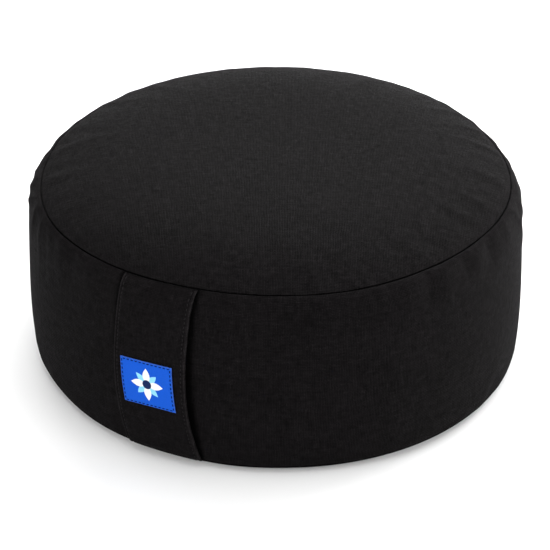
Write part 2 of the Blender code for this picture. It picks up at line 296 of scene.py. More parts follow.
def cylindrical(radius, azimuth, height):
    # radius * cos(azimuth), radius * sin(azimuth) and height
    angle = np.radians(azimuth)
    x = radius * np.cos(angle)
    y = radius * np.sin(angle)
    return np.stack(np.broadcast_arrays(x, y, height), -1)


def crownPoint(azimuth, share, ridged=True, stitched=True):
    # height falls from the middle by share ** crownPower, and the seam's own waves come in by share squared
    c = cushion
    seamRadius, seamHeight = seamPlace(azimuth)
    radius = seamRadius * share
    height = c["seamHeight"] + (c["height"] - c["seamHeight"]) * (1 - share ** c["crownPower"])
    height = height + (seamHeight - c["seamHeight"]) * share**2
    distance = np.hypot(seamRadius - radius, seamHeight - height)
    out, up = drawnIn(distance, c["seamPull"], c["crownRoll"], stitched)
    ridge = puckers(topPuckers, azimuth, distance) if ridged else 0
    return cylindrical(radius + out, azimuth, height + up + ridge)


def bandBulge(share):
    # 0 at the seams and 1 at the shoulder: below it 1 less a power of the distance from it, and above it
    # the root of that, so that the cloth leaves the top seam level and turns down
    c = cushion
    above = np.sqrt(np.clip(1 - np.abs(1 - share / c["bandShoulder"]) ** c["upperPower"], 0, 1))
    below = 1 - np.abs((share - c["bandShoulder"]) / (1 - c["bandShoulder"])) ** c["lowerPower"]
    return np.where(share < c["bandShoulder"], above, below)


def bandPoint(azimuth, share, ridged=True, stitched=True):
    # a straight line from seam to seam, plus the bulge, the two channels and the puckers
    c = cushion
    seamRadius, seamHeight = seamPlace(azimuth)
    footRadius, footHeight = footPlace(azimuth)
    swell = c["bandSwell"] + wave("band swell", azimuth)
    radius = seamRadius + (footRadius - seamRadius) * share + swell * bandBulge(share)
    height = seamHeight + (footHeight - seamHeight) * share
    fromSeam = np.hypot(seamRadius - radius, seamHeight - height)
    fromFoot = np.hypot(footRadius - radius, footHeight - height)
    seamOut, seamUp = drawnIn(fromSeam, c["seamPull"], c["bandRoll"], stitched)
    footOut, footUp = drawnIn(fromFoot, c["footPull"], c["footRoll"], stitched)
    if ridged:
        radius = radius + puckers(bandPuckers, azimuth, fromSeam) + puckers(footPuckers, azimuth, fromFoot)
    return cylindrical(radius + seamOut + footOut, azimuth, height + seamUp + footUp)


def rollPoint(azimuth, share):
    # the base panel curves down from its seam to the flat as (1 - share) squared
    c = cushion
    footRadius, footHeight = footPlace(azimuth)
    radius = footRadius + (c["restRadius"] - footRadius) * share
    height = footHeight * (1 - share) ** 2
    distance = np.hypot(footRadius - radius, footHeight - height)
    out, up = drawnIn(distance, c["footPull"], c["footRoll"], True)
    return cylindrical(radius + out, azimuth, height + up * (1 - share))


# The fill pressing on the cloth

filling = dict(
    steps=360,  # columns round the cushion in the grid that is pressed
    crownRings=26,
    crownStart=0.3,  # share of the crown's radius inside which the cloth stays as it is
    bandRings=34,
    pressure=4.0,
    fullness=0.02,  # share by which the cloth is larger than its shape
    frames=20,
    bending=0.4,
    slowWaves=9,  # slower waves than this in one turn are left to the sizes above
    fastWaves=58,  # and faster ones than this fade away
    reach=0.036,  # how far into the crown the creases last
    onCrown=0.4,  # shares of the creases that are kept
    onBand=0.7,
    cap=0.0016,  # the furthest that a point may move
    calm=12,  # degrees either side of the strap's middle that stay calm
)


def pressedCage(azimuth, crown, band):
    # crown and band as one grid, with its rings held where it is sewn
    f = filling
    onCrown = crownPoint(azimuth, crown[:, None], stitched=False)
    onBand = bandPoint(azimuth, band[1:, None], stitched=False)
    points = np.concatenate([onCrown, onBand])
    mesh = bpy.data.meshes.new("cage")
    mesh.from_pydata(points.reshape(-1, 3), [], gridQuads(len(points), f["steps"], True))
    cage = bpy.data.objects.new("cage", mesh)
    scene.collection.objects.link(cage)
    held = np.zeros(points.shape[:2], bool)
    held[[0, len(crown) - 1, -1]] = True
    group = cage.vertex_groups.new(name="sewn")
    group.add(np.flatnonzero(held.ravel()).tolist(), 1.0, "REPLACE")
    return cage, points


def pressOut(cage):
    # Blender's cloth under inner pressure, read at its last frame
    f = filling
    cloth = cage.modifiers.new("fill", "CLOTH")
    cloth.settings.use_pressure = True
    cloth.settings.uniform_pressure_force = f["pressure"]
    cloth.settings.effector_weights.gravity = 0
    cloth.settings.shrink_min = -f["fullness"]
    cloth.settings.bending_stiffness = f["bending"]
    cloth.settings.vertex_group_mass = "sewn"
    cloth.collision_settings.use_collision = False
    cloth.point_cache.frame_start = 1
    cloth.point_cache.frame_end = f["frames"]
    for step in range(1, f["frames"] + 1):
        scene.frame_set(step)
    pressed = cage.evaluated_get(bpy.context.evaluated_depsgraph_get())
    places = np.empty(len(pressed.data.vertices) * 3, np.float32)
    pressed.data.vertices.foreach_get("co", places)
    bpy.data.objects.remove(cage)
    scene.frame_set(1)
    return places.reshape(-1, f["steps"], 3)


def turnedAbout(vectors, azimuth):
    # each vector turned about +Z by its azimuth
    angle = np.radians(azimuth)
    x = vectors[..., 0] * np.cos(angle) - vectors[..., 1] * np.sin(angle)
    y = vectors[..., 0] * np.sin(angle) + vectors[..., 1] * np.cos(angle)
    return np.stack([x, y, vectors[..., 2]], -1)


def curveThrough(knots, rows, places):
    # cubic Hermite curves through the rows, with slopes worked out from their neighbours
    slopes = np.gradient(rows, knots, axis=0)
    places = np.maximum(places, knots[0])
    i = np.clip(np.searchsorted(knots, places, side="right") - 1, 0, len(knots) - 2)
    gap = (knots[i + 1] - knots[i])[:, None, None]
    t = (places - knots[i])[:, None, None] / gap
    before = (1 + 2 * t) * (1 - t) ** 2 * rows[i] + t * (1 - t) ** 2 * gap * slopes[i]
    after = t**2 * (3 - 2 * t) * rows[i + 1] + t**2 * (t - 1) * gap * slopes[i + 1]
    return before + after


def fillMoves(crown, band, azimuth):
    # how far the fill creases the crown and the band: a cloth simulation on a coarser grid, whose move is
    # split into waves round the cushion; the ones between slowWaves and fastWaves are kept
    f = filling
    coarse = np.arange(f["steps"])[None] * 360 / f["steps"]
    outward = np.sin(np.linspace(0, np.pi / 2, f["crownRings"]))
    coarseCrown = f["crownStart"] + (1 - f["crownStart"]) * outward
    coarseBand = 0.5 - 0.5 * np.cos(np.linspace(0, np.pi, f["bandRings"]))
    cage, start = pressedCage(coarse, coarseCrown, coarseBand)
    waves = np.fft.rfft(turnedAbout(pressOut(cage) - start, -coarse), axis=1)
    count = np.arange(waves.shape[1])[None, :, None]
    waves = waves * (count >= f["slowWaves"]) * np.exp(-((count / f["fastWaves"]) ** 4))
    steps = azimuth.shape[1]
    rows = np.fft.irfft(waves, steps, axis=1) * steps / f["steps"]
    length = np.linalg.norm(rows, axis=-1, keepdims=True)
    print("fill creases the cloth by up to %.2f mm" % (length.max() * 1000))
    rows = rows * f["cap"] * np.tanh(length / f["cap"]) / np.maximum(length, 1e-9)
    besideStrap = 1 - np.exp(-((degreesBetween(azimuth, strap["azimuth"]) / f["calm"]) ** 4))
    rows = turnedAbout(rows, azimuth) * besideStrap[..., None]
    last = len(coarseCrown)
    fade = f["onCrown"] * np.exp(-((cushion["seamRadius"] * (1 - crown) / f["reach"]) ** 2))
    onCrown = curveThrough(coarseCrown, rows[:last], crown) * fade[:, None, None]
    onBand = curveThrough(coarseBand, rows[last - 1 :], band) * f["onBand"]
    return onCrown, onBand


def coverRings():
    # shares of the way down each panel, close together beside the seams
    c = cushion
    fine = c["fineRing"]
    coarse = c["coarseRing"]
    growth = c["ringGrowth"]
    crown = 1 - crowded(c["seamRadius"], fine, coarse, growth)[::-1] / c["seamRadius"]
    half = crowded(0.5, fine / c["seamHeight"], coarse / c["seamHeight"], growth)
    upper = half**2 / (half + c["levelShare"])
    band = np.concatenate([upper * 0.5 / upper[-1], 1 - half[-2::-1]])
    rollWidth = c["footRadius"] - c["restRadius"]
    roll = crowded(rollWidth, fine, c["rollRing"], c["baseGrowth"]) / rollWidth
    flat = 1 - crowded(c["restRadius"], *c["flatRings"], c["baseGrowth"]) / c["restRadius"]
    return crown, band, roll, flat


def bandLength(band):
    # length of cloth from the top seam down to each share, on the smooth shape at the front
    steps = np.diff(bandPoint(270, band, False, False), axis=0)
    return np.concatenate([[0], np.cumsum(np.linalg.norm(steps, axis=1))])


def paintedSeamShading(crown, band, roll, flat):
    # painted shade, 1 deep between two cloths by exp(-(d / paintedShadeWidth) ** 2), with d the distance
    # from a seam, and below 0 a painted highlight on the folds of the band and the base beside it, by
    # -foldHighlight * exp(-((d - foldHighlightPlace) / foldHighlightWidth) ** 2)
    c = cushion
    length = bandLength(band)
    panels = [
        c["seamRadius"] * (1 - crown),
        np.minimum(length, length[-1] - length)[1:],
        (c["footRadius"] - c["restRadius"]) * roll[1:],
        np.ones(len(flat) - 1),
    ]
    foldHighlight = np.repeat((0, c["foldHighlight"], c["foldHighlight"], 0), [len(panel) for panel in panels])
    distance = np.concatenate(panels)
    # painted highlight on the folds beside the seams
    paintedHighlight = np.exp(-(((distance - c["foldHighlightPlace"]) / c["foldHighlightWidth"]) ** 2))
    depth = np.exp(-((distance / c["paintedShadeWidth"]) ** 2)) - foldHighlight * paintedHighlight
    return np.repeat(depth[:, None], c["steps"], axis=1)


def paintedStrapShadow(share, azimuth):
    # painted shadow of the strap on the band: 1 under the strap, and exp(-(d / reach) ** power) beyond its
    # edges, with a further reach and a lower power where the strap stands off; near the top each edge lies
    # in a fold of the band, where the painted shadow reaches further
    s = strap
    down = np.clip((share - s["top"]) / (s["bottom"] - s["top"]), 0, 1)
    across = np.radians(degreesBetween(azimuth, strapAzimuth(share))) * (cushion["footRadius"] + s["bow"])
    slack = np.clip(1.5 * np.sin(np.pi * down ** s["slackPlace"]), 0, 1)
    fold = np.where(across < 0, *s["shadeFolds"]) * np.exp(-((down / s["foldEnd"]) ** 4))
    beyond = np.maximum(np.abs(across) - strapHalf(down) - fold, 0)
    reach = s["paintedShadeWidth"] * (0.75 + 0.25 * slack)
    return np.exp(-((beyond / reach) ** (4 - 2 * slack))) * (share < s["bottom"])


def addCover(material):
    # crown, band, base roll and flat as one grid, row by row from the middle of the top to that of the base
    c = cushion
    crown, band, roll, flat = coverRings()
    turn = np.arange(c["steps"] + 1) * 360 / c["steps"]
    azimuth = turn[None, :-1]
    onCrown = crownPoint(azimuth, crown[:, None])
    onBand = bandPoint(azimuth, band[:, None])
    crownMove, bandMove = fillMoves(crown, band, azimuth)
    onCrown = onCrown + crownMove
    onBand = onBand + bandMove
    onRoll = rollPoint(azimuth, roll[1:, None])
    onFlat = cylindrical(c["restRadius"] * flat[1:, None], azimuth, 0)
    points = np.concatenate([onCrown, onBand[1:], onRoll, onFlat])
    faces = gridQuads(len(points), c["steps"], True)
    # each panel has its own cloth coordinates in metres: straight across the round panels, along the band
    above = len(crown)
    below = above + len(band) - 1
    wide = np.concatenate([points, points[:, :1]], 1)
    flatUv = wide[..., :2]
    drop = bandLength(band)[:, None]
    around = np.radians(turn)[None, :] * c["footRadius"] + 0 * drop
    bandUv = np.stack(np.broadcast_arrays(around, drop), -1)
    uvTop = np.concatenate([flatUv[: above - 1], bandUv[:-1], flatUv[below - 1 : -1]])
    uvLow = np.concatenate([flatUv[1:above], bandUv[1:], flatUv[below:]])
    uv = np.stack([uvTop[:, :-1], uvLow[:, :-1], uvLow[:, 1:], uvTop[:, 1:]], 2)
    # painted shade deep in the seams and painted highlight on the folds beside them, read by the material
    shade = paintedSeamShading(crown, band, roll, flat)
    # and the strap's painted shadow on the band
    onBandRows = slice(above, above + len(band) - 1)
    shade[onBandRows] = np.maximum(shade[onBandRows], paintedStrapShadow(band[1:, None], azimuth))
    cover = newPiece("cushionCover", points, faces, material, uv, shade)
    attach(cover, "root")
    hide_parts("cushion")


# Handle strap

strap = dict(
    azimuth=243.8,
    lean=0.82,  # degrees that its lower end has turned towards the front
    leanPower=1.6,
    sway=-1.8,  # degrees that its middle has turned the other way
    swayPlace=0.9,  # a lower power puts the sway's crest higher up
    width=0.0497,
    flare=0.027,  # share by which it is wider at its lower end
    length=0.124,
    thickness=0.0030,
    topEnd=(0.2, 20),  # share of its thickness at its end, and how fast it thickens from there
    lowEnd=(0.5, 12),
    top=0.0045,  # shares of the way down the band at which it starts and ends
    bottom=0.992,
    clearance=0.0004,  # from the band
    bow=0.0018,  # how far its middle stands off the band
    flatness=0.0014,  # how much further its long edges stand off, because it doesn't bend round the band
    slackPlace=1.6,  # a higher power moves the slack down
    slackPower=1.3,
    give=0.3,  # how far its edges turn with the band, from 0 for flat to 1
    edgePower=40,  # a higher power makes the folded edges squarer
    stitchInset=0.0026,
    furrow=0.00038,  # how deep the stitches are drawn in
    furrowWidth=0.0006,
    fold=0.0005,  # depth of the line between its layers, along its sides
    foldWidth=0.09,  # as a share of its thickness
    paintedShadeWidth=0.0022,  # how far its painted shadow on the band reaches past its edges
    shadeFolds=(0.0022, 0.00132),  # how much further that painted shadow reaches on its left and on its right, near its top
    foldEnd=0.4,  # share of its length at which that ends
    shadeSide=0.6,  # how dark its inner side is painted, as painted shade
    shadeTop=0.0008,  # how far from the seam its top end is painted dark, as painted shade in the seam
    across=61,
    edgeCrowding=1.15,  # a higher power moves the points towards its edges
    rings=(0.0012, 0.0058, 1.25),  # spacing at its top end and further down, as shares, and growth
)


def strapAzimuth(share):
    # the lean grows by leanPower of the share, and the sway is the half sine of its swayPlace
    s = strap
    share = np.clip(share, 0, 1)
    sway = s["sway"] * np.sin(np.pi * share ** s["swayPlace"])
    return s["azimuth"] + s["lean"] * share ** s["leanPower"] + sway


def strapLift(across, down):
    # clearance, plus a bow by the power of a half sine of a power of the way down, more at the long edges
    s = strap
    slack = np.sin(np.pi * np.clip(down, 0, 1) ** s["slackPlace"]) ** s["slackPower"]
    return s["clearance"] + (s["bow"] + s["flatness"] * across**2) * slack


def bandNormal(azimuth, share):
    # cross product of the smooth band's slopes round it and up it
    roundBand = bandPoint(azimuth + 2, share, False, False) - bandPoint(azimuth - 2, share, False, False)
    above = bandPoint(azimuth, np.maximum(share - 0.02, 0), False, False)
    below = bandPoint(azimuth, np.minimum(share + 0.02, 1), False, False)
    return unit(np.cross(roundBand, above - below))


def overBand(across, share, lift, thick):
    # the smooth band's point at a length across from the strap's middle line, moved out by lift along the
    # band's normal and by thick along the strap's own
    middle = strapAzimuth(share)
    beside = bandPoint(middle, share, False, False)
    radius = np.hypot(beside[..., 0], beside[..., 1]) + lift
    azimuth = middle + np.degrees(across / radius)
    normal = bandNormal(middle + strap["give"] * (azimuth - middle), share)
    raised = bandNormal(azimuth, share) * np.asarray(lift)[..., None]
    inner = bandPoint(azimuth, share, False, False) + raised
    return inner + normal * np.asarray(thick)[..., None], normal


def strapHalf(down):
    # half its width, which grows by flare of it towards the lower end
    return strap["width"] / 2 * (1 + strap["flare"] * down)


def strapPoint(across, down, above):
    # across from -1 to 1, down from 0 to 1, above from 0 on the inner face to 1 on the outer one; each row
    # of stitches is a furrow, and the line between its layers a fold, both by a bell curve
    s = strap
    share = s["top"] + (s["bottom"] - s["top"]) * down
    half = strapHalf(down)
    topShare, topRise = s["topEnd"]
    lowShare, lowRise = s["lowEnd"]
    ends = np.minimum(1, np.minimum(topShare + topRise * down, lowShare + lowRise * (1 - down)))
    fromStitch = (np.abs(across) * half - (half - s["stitchInset"])) / s["furrowWidth"]
    thick = s["thickness"] * ends * above - s["furrow"] * np.exp(-(fromStitch**2)) * above
    side = half - s["fold"] * np.exp(-(((above - 0.5) / s["foldWidth"]) ** 2))
    return overBand(across * side, share, strapLift(across, down), thick)


def addStrap(material):
    # its cross-section is a closed loop, half as thick as the root of 1 - across ** edgePower on each side
    s = strap
    edge = crowdedEnds(s["across"], s["edgeCrowding"])
    half = 0.5 * np.sqrt(1 - np.abs(edge) ** s["edgePower"])
    across = np.concatenate([edge, edge[-2:0:-1]])
    above = np.concatenate([0.5 + half, (0.5 - half)[-2:0:-1]])
    down = crowded(1, *s["rings"])
    points, _ = strapPoint(across[None], down[:, None], above[None])
    faces = gridQuads(*points.shape[:2], True)
    steps = np.linalg.norm(np.diff(points[:, s["across"] // 2], axis=0), axis=1)
    length = np.concatenate([[0], np.cumsum(steps)])[:, None]
    uv = gridUv(np.stack(np.broadcast_arrays(across[None] * s["width"] / 2, length), -1), True)
    # painted shade on its inner side and on its top end, in the seam
    shade = np.maximum(s["shadeSide"] * (1 - above[None]) ** 2, np.exp(-((length / s["shadeTop"]) ** 2)))
    piece = newPiece("handleStrap", points, faces, material, uv, shade)
    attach(piece, "root")
    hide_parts("handle_strap")


# Label

label = dict(
    width=0.0363,
    height=0.0313,
    thickness=0.0010,
    clearance=0.0003,  # from the strap
    place=0.557,  # its middle, as a share of the way down the band
    aside=-0.0005,  # how far its middle is from the strap's middle line
    turn=2.3,  # degrees
    edgePower=36,
    stitchInset=0.0012,
    furrow=0.00016,  # how deep the stitches are drawn in
    furrowWidth=0.0004,
    across=49,
    along=45,
    edgeCrowding=1.3,
)


def labelPoint(beside, above, lift):
    # metres right of and above its middle, turned with it, at a height over the strap's outer face
    t = label
    turn = math.radians(t["turn"])
    across = t["aside"] + beside * math.cos(turn) - above * math.sin(turn)
    rise = beside * math.sin(turn) + above * math.cos(turn)
    share = t["place"] - rise / (cushion["seamHeight"] - cushion["footHeight"])
    down = (share - strap["top"]) / (strap["bottom"] - strap["top"])
    under = strapLift(across / (strap["width"] / 2), down)
    return overBand(across, share, under, strap["thickness"] + t["clearance"] + lift)


def addLabel(material):
    # a thin slab: its half thickness is the root of (1 - across ** power) * (1 - down ** power)
    t = label
    side = crowdedEnds(t["across"], t["edgeCrowding"])
    rise = -crowdedEnds(t["along"], t["edgeCrowding"])[:, None]
    across = np.concatenate([side, side[-2:0:-1]])[None]
    face = np.concatenate([np.ones(len(side)), -np.ones(len(side) - 2)])[None]
    slab = np.sqrt((1 - np.abs(across) ** t["edgePower"]) * (1 - np.abs(rise) ** t["edgePower"]))
    beside = across * t["width"] / 2
    above = rise * t["height"] / 2
    fromEdge = np.minimum(t["width"] / 2 - np.abs(beside), t["height"] / 2 - np.abs(above))
    furrow = t["furrow"] * np.exp(-(((fromEdge - t["stitchInset"]) / t["furrowWidth"]) ** 2))
    lift = t["thickness"] * (0.5 + 0.5 * face * slab) - furrow * (face > 0)
    points, _ = labelPoint(beside, above, lift)
    faces = gridQuads(*points.shape[:2], True)
    uv = gridUv(np.stack(np.broadcast_arrays(beside, above), -1), True)
    piece = newPiece("wovenLabel", points, faces, material, uv)
    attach(piece, "root")
    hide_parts("label")


# Stitches

thread = dict(
    strapRadius=0.00029,
    strapLength=0.0020,
    strapGap=0.0010,
    strapStart=0.35,  # of a stitch and its gap, from the strap's end
    strapShare=0.975,  # share of the strap's length that is stitched
    strapColour=(0.0145, 0.0132, 0.0138),
    labelRadius=0.00038,
    labelLength=0.0021,
    labelGap=0.0008,
    labelStart=0.2,
    labelColour=(0.0009, 0.010, 0.075),
    sink=0.00016,  # how deep the ends of a stitch lie under its middle
    seat=0.7,  # share of that by which the whole stitch is pressed into the cloth
    roughness=0.7,
    specular=0.04,
    twistScale=900,
    twistShade=0.5,
    bump=0.00006,
    around=6,
    along=7,
)


def stitchTubes(points, normals, radius):
    # one small closed tube along each row of points, arched by a half sine, with the root of
    # 1 - (2 * s - 1) ** 4 as its thickness, so that it is pointed at its ends
    t = thread
    s = np.linspace(0, 1, points.shape[1])[None, :, None]
    middle = points + normals * t["sink"] * (np.sin(np.pi * s) - t["seat"])
    forward = unit(np.gradient(middle, axis=1))
    beside = unit(np.cross(normals, forward))
    angle = np.arange(t["around"]) * 2 * np.pi / t["around"]
    ring = beside[:, :, None] * np.cos(angle)[:, None] + normals[:, :, None] * np.sin(angle)[:, None]
    thick = radius * np.sqrt(np.clip(1 - np.abs(2 * s - 1) ** 4, 0, 1))
    tubes = middle[:, :, None] + ring * thick[..., None]
    one = gridQuads(points.shape[1], t["around"], True)
    count = points.shape[1] * t["around"]
    faces = (one[None] + np.arange(len(points))[:, None, None] * count).reshape(-1, 4)
    return tubes, faces


def addStrapStitching(material):
    # evenly spaced along both long edges
    t = thread
    pitch = t["strapLength"] + t["strapGap"]
    count = int(strap["length"] * t["strapShare"] / pitch)
    start = (np.arange(count)[:, None] + t["strapStart"]) * pitch
    down = (start + np.linspace(0, t["strapLength"], t["along"])[None]) / strap["length"]
    sides = []
    for side in (-1, 1):
        across = side * (1 - strap["stitchInset"] / strapHalf(down))
        sides.append(strapPoint(across, down, np.ones_like(down)))
    points, normals = [np.concatenate(both) for both in zip(*sides)]
    addStitches("strapStitching", points, normals, t["strapRadius"], material)


def addLabelStitching(material):
    # a whole number of stitches along each side of a rectangle
    t = thread
    half = np.array([label["width"], label["height"]]) / 2 - label["stitchInset"]
    corners = half * [(-1, 1), (1, 1), (1, -1), (-1, -1)]
    runs = []
    for first, last in zip(corners, np.roll(corners, -1, axis=0)):
        length = np.linalg.norm(last - first)
        count = round(length / (t["labelLength"] + t["labelGap"]))
        pitch = length / count
        start = (np.arange(count)[:, None] + t["labelStart"]) * pitch
        along = start + np.linspace(0, t["labelLength"], t["along"])[None]
        runs.append(first + (last - first) * (along / length)[..., None])
    path = np.concatenate(runs)
    points, normals = labelPoint(path[..., 0], path[..., 1], label["thickness"] - label["furrow"])
    addStitches("labelStitching", points, normals, t["labelRadius"], material)


def addStitches(name, points, normals, radius, material):
    # all stitches of one row or rectangle as one piece
    tubes, faces = stitchTubes(points, normals, radius)
    piece = newPiece(name, tubes, faces, material)
    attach(piece, "root")


# Materials

canvas = dict(
    colour=(0.0076, 0.0067, 0.0071),
    pitch=0.00100,  # from one thread to the next
    wobble=0.0012,  # how far the threads wander
    wobbleScale=90,
    gapShade=0.22,  # painted shade between two threads: brightness there, against 1 on top of one
    threadSpread=1.4,  # how unlike the threads are; slub, mottle, blotch and fuzz are alike in kind
    slubLong=0.0055,  # size of the thicker places in the threads, along and across
    slubWide=0.0016,
    slub=1.5,
    mottleSize=0.0050,
    mottle=1.3,
    blotchSize=0.028,
    blotch=0.5,
    fibreScale=1500,
    fuzz=1.3,
    paintedShadeStrength=0.80,  # how strongly the shade attribute is painted: painted shade in seams and beside the strap, painted highlight below 0
    fade=2.2,  # how much paler the strap's folded edges are painted, as a painted highlight
    highlightFrom=0.0015,  # distance from the strap's edge at which that begins
    highlightFull=0.0006,
    roughness=0.78,
    shine=0.80,  # how much smoother the thicker threads are
    specular=0.014,
    sheen=0.003,
    sheenRoughness=0.5,
    bump=0.00016,
    slubBump=1.8,  # against the weave's own height
    fibreBump=0.35,
)
labelCloth = dict(
    blue=(0.0065, 0.082, 0.515),
    white=(0.80, 0.81, 0.82),
    cyan=(0.25, 0.60, 0.80),
    navy=(0.008, 0.020, 0.080),
    edge=(0.030, 0.090, 0.400),
    edgeWidth=0.0005,
    petal=0.0112,  # lengths from the label's middle, and half widths
    petalWidth=0.0025,
    leaf=0.0100,
    leafWidth=0.0021,
    heart=0.0031,
    rib=0.00030,  # from one thread to the next
    ribDark=0.8,  # painted shade: brightness between two threads
    ribShade=0.25,  # painted highlight: how much brighter a thread is on top
    threadSpread=0.14,
    roughness=0.65,
    specular=0.05,
    bump=0.00006,
)


def node(tree, kind, inputs=(), **settings):
    # a new shader node, with its settings and with its inputs set to values or joined to other sockets
    made = tree.nodes.new("ShaderNode" + kind)
    for name, value in settings.items():
        setattr(made, name, value)
    for name, value in dict(inputs).items():
        if isinstance(value, bpy.types.NodeSocket):
            tree.links.new(value, made.inputs[name])
        else:
            made.inputs[name].default_value = value
    return made


def calc(tree, operation, *values):
    # one Math node on sockets or values
    return node(tree, "Math", enumerate(values), operation=operation).outputs[0]


def newMaterial(name, roughness, specular):
    # a material with its node tree and its shader
    material = bpy.data.materials.new(name)
    material.use_nodes = True
    shader = material.node_tree.nodes["Principled BSDF"]
    shader.inputs["Roughness"].default_value = roughness
    shader.inputs["Specular IOR Level"].default_value = specular
    return material, material.node_tree, shader


def clothPlace(tree, wobble=0):
    # the two cloth coordinates in metres, wandering a little if asked
    uv = node(tree, "UVMap", uv_map="cloth").outputs["UV"]
    if wobble:
        scale = canvas["wobbleScale"]
        noise = node(tree, "TexNoise", {"Vector": uv, "Scale": scale, "Detail": 2}).outputs["Color"]
        centred = node(tree, "VectorMath", {0: noise, 1: (0.5, 0.5, 0.5)}, operation="SUBTRACT").outputs[0]
        pushed = node(tree, "VectorMath", {0: centred, "Scale": wobble}, operation="SCALE").outputs[0]
        uv = node(tree, "VectorMath", {0: uv, 1: pushed}, operation="ADD").outputs[0]
    split = node(tree, "SeparateXYZ", {0: uv})
    return uv, split.outputs[0], split.outputs[1]


def plainWeave(tree, u, v, pitch):
    # height of a plain weave from 0 to 1, a half sine across the thread on top, lower where it dips; and a
    # number of its own for that thread
    apart = 7.3  # places of neighbouring threads in their noise, too far apart to be alike
    along = 0.09  # how fast that noise changes along a thread
    dip = 0.45
    other = 31.0  # where the weft's noise lies, away from the warp's
    x = calc(tree, "DIVIDE", u, pitch)
    y = calc(tree, "DIVIDE", v, pitch)
    i = calc(tree, "FLOOR", x)
    j = calc(tree, "FLOOR", y)
    crossX = calc(tree, "ABSOLUTE", calc(tree, "SINE", calc(tree, "MULTIPLY", x, math.pi)))
    crossY = calc(tree, "ABSOLUTE", calc(tree, "SINE", calc(tree, "MULTIPLY", y, math.pi)))
    warp = calc(tree, "MULTIPLY", crossX, calc(tree, "MULTIPLY_ADD", crossY, dip, 1 - dip))
    weft = calc(tree, "MULTIPLY", crossY, calc(tree, "MULTIPLY_ADD", crossX, dip, 1 - dip))
    onTop = calc(tree, "FLOORED_MODULO", calc(tree, "ADD", i, j), 2.0)
    height = node(tree, "Mix", {0: onTop, 2: weft, 3: warp}, data_type="FLOAT").outputs[0]
    warpX = calc(tree, "MULTIPLY", i, apart)
    warpY = calc(tree, "MULTIPLY", y, along)
    weftX = calc(tree, "MULTIPLY", x, along)
    weftY = calc(tree, "MULTIPLY", j, apart)
    warpPlace = node(tree, "CombineXYZ", {0: warpX, 1: warpY}).outputs[0]
    weftPlace = node(tree, "CombineXYZ", {0: weftX, 1: weftY, 2: other}).outputs[0]
    place = node(tree, "Mix", {0: onTop, 4: weftPlace, 5: warpPlace}, data_type="VECTOR").outputs[1]
    shade = node(tree, "TexNoise", {"Vector": place, "Scale": 1.0, "Detail": 1}).outputs[0]
    return height, shade


def brightened(tree, colour, factor):
    # a colour times a factor, both of them sockets or values
    return node(tree, "VectorMath", {0: colour, "Scale": factor}, operation="SCALE").outputs[0]


def spread(tree, noise, strength):
    # a noise about 0.5 turned into a factor about 1
    return calc(tree, "MULTIPLY_ADD", noise, strength, 1 - strength / 2)


def slubs(tree, uv, long, wide):
    # thicker places in the threads: noises drawn out along both ways of the cloth, and their mean
    noises = []
    for x, y, z in ((1 / long, 1 / wide, 0.0), (1 / wide, 1 / long, 7.0)):
        place = node(tree, "VectorMath", {0: uv, 1: (x, y, 1), 2: (0, 0, z)}, operation="MULTIPLY_ADD")
        drawn = node(tree, "TexNoise", {"Vector": place.outputs[0], "Scale": 1.0, "Detail": 2})
        noises.append(drawn.outputs[0])
    return calc(tree, "MULTIPLY", calc(tree, "ADD", *noises), 0.5)


